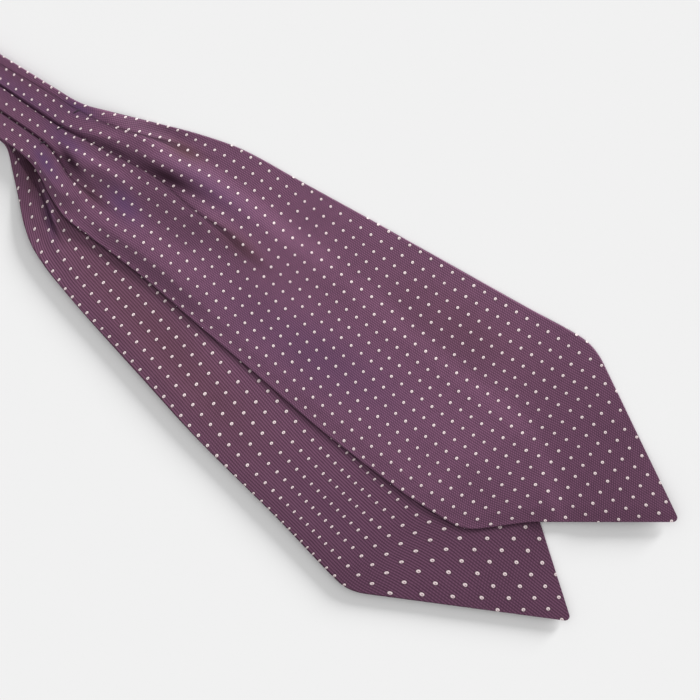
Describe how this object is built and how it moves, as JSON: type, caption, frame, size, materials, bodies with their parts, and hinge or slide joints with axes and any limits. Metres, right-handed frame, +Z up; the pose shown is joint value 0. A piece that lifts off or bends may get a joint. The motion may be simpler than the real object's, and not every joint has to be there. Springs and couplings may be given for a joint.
{
  "type": "silk cravat",
  "caption": "Pleated day cravat in pin-dotted ribbed silk, folded in half at the centre back and laid flat, with its wide pointed ends fanned one on the other.",
  "frame": {"origin": "on the surface the cravat lies on, under the middle of its box", "axes": "+X along the neckband towards the pointed ends, +Y across the blades away from the side the under blade fans to, +Z up from the surface"},
  "size_m": [0.6524, 0.2264, 0.0079],
  "materials": {
    "silk": "fine diagonal rib weave with a soft silk sheen and woven pale pink pin dots"
  },
  "bodies": {
    "root": {"upper_blade": "silk", "upper_neckband": "silk", "lower_neckband": "silk", "under_blade": "silk"}
  },
  "joints": []
}
